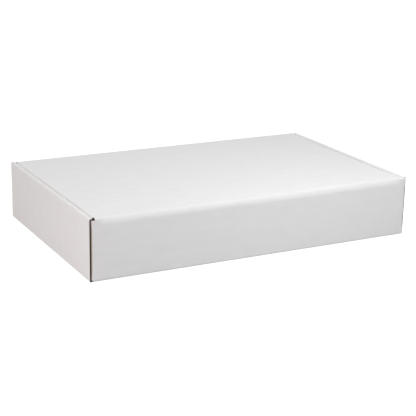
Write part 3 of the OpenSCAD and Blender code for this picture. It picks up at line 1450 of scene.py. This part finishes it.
@dataclass(frozen=True, kw_only=True)
class Tray(BoardPart):
    """Base, both long walls, both rolled side walls and the four corner flaps."""

    name: str = "tray"

    def slots(self) -> list[tuple[float, float, float, float]]:
        """Finds the slots in the base that take the locking tabs.

        They lie under the inner panels, which are the third board in from the outer face.

        Returns:
            Low and high X and low and high Y of each.
        """
        mailer, board = self.mailer, self.mailer.board
        middle = mailer.length / 2 - 2.5 * board.thickness - 2 * board.crease_inner
        wide = board.thickness / 2 + mailer.tab_play
        long = mailer.tab_length / 2 + mailer.tab_play
        return [
            (side * middle - wide, side * middle + wide, centre - long, centre + long)
            for side in (-1, 1)
            for centre in mailer.tab_centres
        ]

    def cut(self, grain: Grain) -> FlatMesh:
        """Cuts the tray from the blank, up to the lid's crease.

        Args:
            grain: How finely it is divided.

        Returns:
            Its flat mesh.
        """
        mesh = FlatMesh(self.blank, grain)
        rows = self.rows(grain)
        self.cut_base_and_walls(mesh, rows)
        for side in (-1, 1):
            self.cut_rolled_wall(mesh, rows, side)
            for end in (-1, 1):
                self.cut_corner_flap(mesh, rows, (side, end))
        return mesh

    def rows(self, grain: Grain) -> np.ndarray:
        """Finds the lines of vertices along X, from the hinge wall to the tuck wall.

        Args:
            grain: How finely the tray is divided.

        Returns:
            Sorted places of the lines.
        """
        mailer, blank = self.mailer, self.blank
        halves = (
            mailer.base_half,
            mailer.outer_half(-1) - grain.recess,
            mailer.outer_half(1) - grain.recess,
            mailer.width / 2 - mailer.inner_setback - grain.recess,
            mailer.width / 2 - mailer.inner_setback - mailer.inner_taper - grain.recess,
        )
        keys = [0.0, *halves, *(-half for half in halves)]
        for centre in mailer.tab_centres:
            for half in (
                mailer.tab_length / 2 + mailer.tab_play,
                mailer.tab_length / 2,
                mailer.tab_length / 2 - mailer.tab_taper,
            ):
                keys += [centre - half, centre + half]
        steps, margin = grain.crease_steps, grain.margin
        hinge = blank.hinge_side.positions(0, blank.ledge, steps, margin)
        hinge_wall, tuck_wall, _ = blank.end_lines
        tuck_end = blank.tuck_side.marks[-1] - grain.recess
        tuck = blank.tuck_side.positions(0, tuck_end, steps, margin)
        keys += [*-hinge, *-hinge_wall, *tuck, *tuck_wall, -blank.hinge_start, blank.ledge]
        keys += [-blank.ledge, *-blank.hinge_side.positions(blank.ledge, blank.cap_end, steps, margin)]
        return grain.lines(-blank.cap_end, max(blank.ledge, tuck_end), keys)

    def cut_base_and_walls(self, mesh: FlatMesh, rows: np.ndarray) -> None:
        """Cuts the base and both long walls, whose ends are cut down beside the lid.

        Args:
            mesh: The tray's flat mesh.
            rows: Lines of vertices along X.
        """
        mailer, blank = self.mailer, self.blank
        tuck_end = blank.tuck_side.marks[-1] - mesh.grain.recess
        reaches = (
            (-blank.hinge_start, -mailer.base_half, mailer.wall_half),
            (-mailer.base_half, mailer.base_half, mailer.base_reach),
            (mailer.base_half, min(blank.ledge, tuck_end), mailer.wall_half),
            (blank.ledge, tuck_end, mailer.hinge_half),
        )
        reaches = [reach for reach in reaches if reach[0] < reach[1]]
        stations = [
            even_stations(between(rows, low, high), -half, half) for low, high, half in reaches
        ]
        slots = self.slots()
        columns = [0.0, *(x for slot in slots for x in slot[:2])]
        wall_lines = blank.wall_lines(mesh.grain.margin)
        for half in (mailer.hinge_half, mailer.wall_half, mailer.base_reach, *wall_lines):
            columns += [-half, half]
        columns = np.unique(np.round(columns, LINE_DECIMALS))
        mesh.add(Fold.LENGTHWISE, np.concatenate(stations), columns, holes=slots)
        for side in (-1, 1):
            edges = sorted((side * mailer.hinge_half, side * mailer.wall_half))
            top = blank.cap_end if side > 0 else blank.ledge
            end = even_stations(between(rows, -top, -blank.hinge_start), *edges)
            mesh.add(Fold.LENGTHWISE, end, between(columns, *edges))

    def cut_rolled_wall(self, mesh: FlatMesh, rows: np.ndarray, side: int) -> None:
        """Cuts a rolled side wall: outer panel, narrow top, inner panel and locking tabs.

        Args:
            mesh: The tray's flat mesh.
            rows: Lines of vertices along X.
            side: Sign of the wall's X.
        """
        mailer, path = self.mailer, self.blank.roll_side
        foot, roll_end = path.marks[[RollRun.BASE, RollRun.TOP]]
        inner_start, tab_end = path.marks[[RollRun.INNER_CREASE, RollRun.INNER_PANEL]]
        tab_start = tab_end - (mailer.board.thickness + mailer.board.crease_inner - mailer.tab_tip)
        outer_half = mailer.outer_half(side) - mesh.grain.recess
        inner_half = mailer.width / 2 - mailer.inner_setback - mesh.grain.recess
        narrow_half = inner_half - mailer.inner_taper
        steps, margin = mesh.grain.crease_steps, mesh.grain.margin
        stations = [even_stations(path.positions(foot, roll_end, steps, margin), -outer_half, outer_half)]
        places = path.positions(roll_end, tab_start, steps, margin)
        half = np.interp(places, (inner_start, tab_start), (inner_half, narrow_half))
        stations.append(np.column_stack((places, -half, half)))
        base_rows = between(rows, -outer_half, outer_half)
        mesh.add(Fold.ROLLED_WALL, np.concatenate(stations), base_rows, (side, 1))
        for centre in mailer.tab_centres:
            half = mailer.tab_length / 2
            tip_half = half - mailer.tab_taper
            tab = np.array(
                [(tab_start, centre - half, centre + half), (tab_end, centre - tip_half, centre + tip_half)]
            )
            mesh.add(Fold.ROLLED_WALL, tab, between(base_rows, centre - half, centre + half), (side, 1))

    def cut_corner_flap(self, mesh: FlatMesh, rows: np.ndarray, corner: tuple[int, int]) -> None:
        """Cuts a corner flap, which runs on from the end of a long wall, and the cap over one.

        Args:
            mesh: The tray's flat mesh.
            rows: Lines of vertices along X.
            corner: Signs of the corner's X and Y.
        """
        mailer, low, high = self.mailer, self.blank.wall_foot, self.blank.ledge
        slants = (mailer.flap_slant, mailer.flap_slant)
        flap_rows = between(rows, low, high)
        crease = self.cut_side_flap(
            mesh, Fold.CORNER_FLAP, flap_rows, corner, slants, mailer.flap_corner
        )
        if corner == (1, -1):
            crease[-1] -= mailer.cap_short
            cap = even_stations(crease, high, self.blank.cap_end)
            mesh.add(Fold.CORNER_FLAP, cap, between(-rows[::-1], high, self.blank.cap_end), corner)


@dataclass(frozen=True, kw_only=True)
class Lid(BoardPart):
    """Lid panel, tuck flap and the two dust flaps.

    It starts where it takes over from its hinge, as a distance along the blank.
    """

    start: float
    name: str = "lid"

    def cut(self, grain: Grain) -> FlatMesh:
        """Cuts the lid from the blank, with Y counted from the base.

        Args:
            grain: How finely it is divided.

        Returns:
            Its flat mesh.
        """
        mesh = FlatMesh(self.blank, grain)
        mailer, blank = self.mailer, self.blank
        path = blank.hinge_side
        tuck_start = path.marks[HingeRun.FRONT_CREASE]
        tuck_depth = mailer.tuck_depth - grain.recess
        dust_back = -mailer.base_half + mailer.hinge_ear + mailer.dust_relief
        dust_front = mailer.lid_front - mailer.board.crease - 2 * mailer.dust_relief
        dust = (blank.lid_place(dust_back), blank.lid_place(dust_front))
        ear = blank.lid_place(-mailer.base_half + mailer.hinge_ear)
        keys = [*path.positions(self.start, tuck_start, grain.crease_steps, grain.margin), *dust, ear]
        keys += [*blank.end_lines[2]]
        rows = grain.lines(self.start, tuck_start, keys)
        half, tip = mailer.panel_half, mailer.panel_half - mailer.tuck_taper
        radius, steps = mailer.tuck_corner, grain.corner_steps
        edges = (
            rounded_edge(-half, -tip, tuck_depth, radius, 1, steps),
            rounded_edge(half, tip, tuck_depth, radius, -1, steps),
        )
        tuck_end = tuck_start + tuck_depth
        flap_rows = grain.lines(tuck_start, tuck_end, (tuck_start + grain.margin,)) - tuck_start
        stations = np.concatenate(
            (
                even_stations(between(rows, self.start, ear), -mailer.hinge_half, mailer.hinge_half),
                even_stations(between(rows, ear, tuck_start), -half, half),
                flap_stations(tuck_start, edges, flap_rows)[1:],
            )
        )
        columns = [0.0]
        for reach in (mailer.hinge_half, *blank.side_lines, tip, tip - radius):
            columns += [-reach, reach]
        mesh.add(Fold.LENGTHWISE, stations, np.unique(np.round(columns, LINE_DECIMALS)), (1, -1))
        dust_rows, slants = between(rows, *dust), (mailer.dust_slant_back, mailer.dust_slant_front)
        for side in (-1, 1):
            self.cut_side_flap(
                mesh, Fold.DUST_FLAP, dust_rows, (side, -1), slants, mailer.dust_corner
            )
        return mesh


@dataclass(frozen=True, kw_only=True)
class LidHinge(BoardPart):
    """The crease that the lid hangs on, with a narrow strip of wall and lid on each side of it.

    It needs more lines of vertices where it bends, from before the crease's end to after it.
    """

    name: str = "hinge"
    flute_grain: Grain = Grain(crease_steps=8, corner_steps=5, spacing=FLUTE_PITCH / FLUTE_STEPS)
    bend_before: float = 4.5
    bend_after: float = 1.9
    bend_step: float = 0.15
    ear_left: float = 1.0

    @property
    def lid_end(self) -> float:
        """Where the lid takes over, along the blank."""
        return self.blank.lid_start + self.mailer.hinge_ear - self.ear_left

    def cut(self, grain: Grain) -> FlatMesh:
        """Cuts the strip from the blank.

        Args:
            grain: How finely it is divided.

        Returns:
            Its flat mesh.
        """
        mesh = FlatMesh(self.blank, grain)
        blank, start, half = self.blank, self.blank.hinge_start, self.mailer.hinge_half
        keys = blank.hinge_side.positions(start, self.lid_end, grain.crease_steps, grain.margin)
        hinge_wall, _, lid = blank.end_lines
        bend = (blank.lid_start - self.bend_before, blank.lid_start + self.bend_after)
        bent = np.arange(*bend, self.bend_step)
        rows = grain.lines(start, self.lid_end, [*keys, *hinge_wall, *lid, *bent])
        lines = between(np.unique(np.round(blank.side_lines, LINE_DECIMALS)), 0, half)
        columns = np.concatenate((-lines[:0:-1], lines))
        mesh.add(Fold.LENGTHWISE, even_stations(rows, -half, half), columns, (1, -1))
        return mesh

    def attach(self, piece: bpy.types.Object, paper: Paper) -> None:
        """Finds the crease's two ends at the paper's own depth, with the lid's end at the wall's height,
        and bakes the piece's transform into its mesh.

        The ends are not used, and the piece is put on neither body. The lid droops less at one end of the
        crease.

        Args:
            piece: The piece.
            paper: The paper that it is.
        """
        side = self.blank.hinge_side
        crease = np.array([(0, -side.starts[HingeRun.CREASE]), (0, -side.marks[HingeRun.CREASE])])
        middle = sum(self.mailer.board.depths(paper)) / 2
        wall_end, lid_end = self.blank.fold(crease, middle, Fold.LENGTHWISE) * MM
        lid_end[2] = wall_end[2]
        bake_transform(piece)


@dataclass(frozen=True)
class PhotoView:
    """The photograph's viewpoint. Distances are in millimetres and angles in degrees."""

    azimuth: float = -27.8496
    elevation: float = 16.9728
    roll: float = 1.1695
    distance: float = 1319.85
    aim: tuple[float, float, float] = (-18.1856, -38.99, 34.0147)
    lens: float = 99.831
    sensor: float = 36.0

    def build(self) -> None:
        """Makes the camera and sets it as the scene's."""
        azimuth, elevation, roll = (
            math.radians(angle) for angle in (self.azimuth, self.elevation, self.roll)
        )
        back = Vector(
            (
                math.sin(azimuth) * math.cos(elevation),
                -math.cos(azimuth) * math.cos(elevation),
                math.sin(elevation),
            )
        )
        level = Vector((math.cos(azimuth), math.sin(azimuth), 0))
        upright = back.cross(level)
        right = level * math.cos(roll) + upright * math.sin(roll)
        up = upright * math.cos(roll) - level * math.sin(roll)
        data = bpy.data.cameras.new("photo_view")
        data.sensor_width = self.sensor
        data.lens = self.lens
        camera = bpy.data.objects.new("photo_view", data)
        turn = Matrix((right, up, back)).transposed().to_4x4()
        camera.matrix_world = Matrix.Translation((Vector(self.aim) + back * self.distance) * MM) @ turn
        bpy.context.scene.collection.objects.link(camera)
        bpy.context.scene.camera = camera


@dataclass(frozen=True)
class Softbox:
    """A square soft light. Distances are in millimetres and the power is in watts."""

    name: str
    place: tuple[float, float, float]
    size: float
    power: float
    colour: str = "#FFFFFF"
    aim: tuple[float, float, float] = (0.0, -30.0, 40.0)

    def build(self) -> None:
        """Makes the light and points it at the box."""
        data = bpy.data.lights.new(self.name, "AREA")
        data.size = self.size * MM
        data.energy = self.power
        data.color = linear(self.colour)[:3]
        lamp = bpy.data.objects.new(self.name, data)
        lamp.visible_camera = False
        lamp.location = Vector(self.place) * MM
        direction = Vector(self.aim) - Vector(self.place)
        lamp.rotation_euler = direction.to_track_quat("-Z", "Y").to_euler()
        bpy.context.scene.collection.objects.link(lamp)


@dataclass(frozen=True)
class Studio:
    """White sweep, soft even daylight, and softboxes above, at the left and at the near side.

    Distances are in millimetres. The floor's glow rises to its far one over the fade.
    """

    floor_half: float = 6000.0
    floor_top: float = -0.1
    floor_inset: float = 4.0
    floor_bounce: str = "#CBCBCB"
    glow: float = 0.73
    far_glow: float = 0.92
    fade: tuple[float, float] = (800.0, 2000.0)
    sky: str = "#FFFFFF"
    daylight: float = 0.46
    softboxes: tuple[Softbox, ...] = (
        Softbox("overhead", place=(0.0, 0.0, 1100.0), size=900.0, power=2.77, colour="#FAFDFF"),
        Softbox("left", place=(-1300.0, 0.0, 600.0), size=1000.0, power=3.6, colour="#FFEEE6"),
        Softbox("near_corner", place=(-550.0, -300.0, 150.0), size=400.0, power=0.56, colour="#FFF5F8"),
        Softbox("near_edge", place=(100.0, -330.0, 360.0), size=360.0, power=0.82),
    )

    def build(self) -> None:
        """Makes the floor, the lights and the world, and sets the plain view transform."""
        self.floor()
        for softbox in self.softboxes:
            softbox.build()
        self.world()
        bpy.context.scene.view_settings.view_transform = "Standard"

    def floor(self) -> None:
        """Makes the floor. Seen directly or in gloss, it glows up to white.

        It glows more far from the box, where less light falls on it. It lies just clear of the
        box and is open under it, so that the base shows from below.
        """
        half, top = self.floor_half * MM, self.floor_top * MM
        inset = Vector((self.floor_inset * MM, self.floor_inset * MM, 0))
        low, high = cad_bounds[0] + inset, cad_bounds[1] - inset
        rings = [(-half, -half, half, half), (low.x, low.y, high.x, high.y)]
        corners = [(x, y, top) for a, b, c, d in rings for x, y in ((a, b), (c, b), (c, d), (a, d))]
        mesh = bpy.data.meshes.new("floor")
        mesh.from_pydata(corners, [], [(0, 1, 5, 4), (1, 2, 6, 5), (2, 3, 7, 6), (3, 0, 4, 7)])
        material = bpy.data.materials.new("matt_white_sweep")
        material.use_nodes = True
        tree = material.node_tree
        tree.nodes.clear()
        paint = add_node(tree, "ShaderNodeBsdfDiffuse", {"Color": linear(self.floor_bounce)})
        place = add_node(tree, "ShaderNodeNewGeometry").outputs["Position"]
        away = add_node(tree, "ShaderNodeVectorMath", {0: place}, operation="LENGTH").outputs["Value"]
        near, far = (distance * MM for distance in self.fade)
        spans = {"From Min": near, "From Max": far, "To Min": self.glow, "To Max": self.far_glow}
        level = add_node(tree, "ShaderNodeMapRange", {"Value": away, **spans})
        strength = add_node(
            tree, "ShaderNodeMath", {0: self.seen(tree), 1: level.outputs[0]}, operation="MULTIPLY"
        )
        glow = add_node(tree, "ShaderNodeEmission", {"Strength": strength.outputs[0]})
        both = add_node(tree, "ShaderNodeAddShader", {0: paint.outputs[0], 1: glow.outputs[0]})
        add_node(tree, "ShaderNodeOutputMaterial", {"Surface": both.outputs[0]})
        mesh.materials.append(material)
        show("floor", mesh)

    def seen(self, tree: bpy.types.NodeTree) -> bpy.types.NodeSocket:
        """Tells rays that see a surface from those that only light the object.

        Args:
            tree: The tree of a material or of the world.

        Returns:
            1 for a ray from the camera, a reflection or through glass, and 0 for any other.
        """
        path = add_node(tree, "ShaderNodeLightPath").outputs
        seen = path["Is Camera Ray"]
        for other in ("Is Glossy Ray", "Is Transmission Ray"):
            either = add_node(tree, "ShaderNodeMath", {0: seen, 1: path[other]}, operation="MAXIMUM")
            seen = either.outputs[0]
        return seen

    def world(self) -> None:
        """Makes the world: white to the camera, and soft even daylight for the object."""
        world = bpy.data.worlds.new("white_studio")
        world.use_nodes = True
        tree = world.node_tree
        tree.nodes.clear()
        extra = add_node(
            tree, "ShaderNodeMath", {0: self.seen(tree), 1: 1 - self.daylight}, operation="MULTIPLY"
        )
        strength = add_node(tree, "ShaderNodeMath", {0: extra.outputs[0], 1: self.daylight})
        sky = add_node(
            tree, "ShaderNodeBackground", {"Color": linear(self.sky), "Strength": strength.outputs[0]}
        )
        add_node(tree, "ShaderNodeOutputWorld", {"Surface": sky.outputs[0]})
        bpy.context.scene.world = world


def main() -> None:
    """Builds the viewpoint, the box and the studio, in that order."""
    logging.basicConfig(level=logging.INFO, format="%(name)s: %(message)s")
    PhotoView().build()
    board = Board()
    blank = Blank(Mailer.from_frame(board))
    papers = Papers(
        white=WhiteLiner().material(),
        kraft=KraftLiner().material(),
        cut_edge=CutEdgeWithPaintedShade().material(),
        medium=FlutingMediumWithPaintedShade().material(),
    )
    shared = {"blank": blank, "papers": papers, "press": FlutePress()}
    hinge = LidHinge(**shared)
    Tray(**shared).build()
    hinge.build()
    Lid(**shared, start=hinge.lid_end).build()
    Studio().build()


if __name__ == "__main__":
    main()
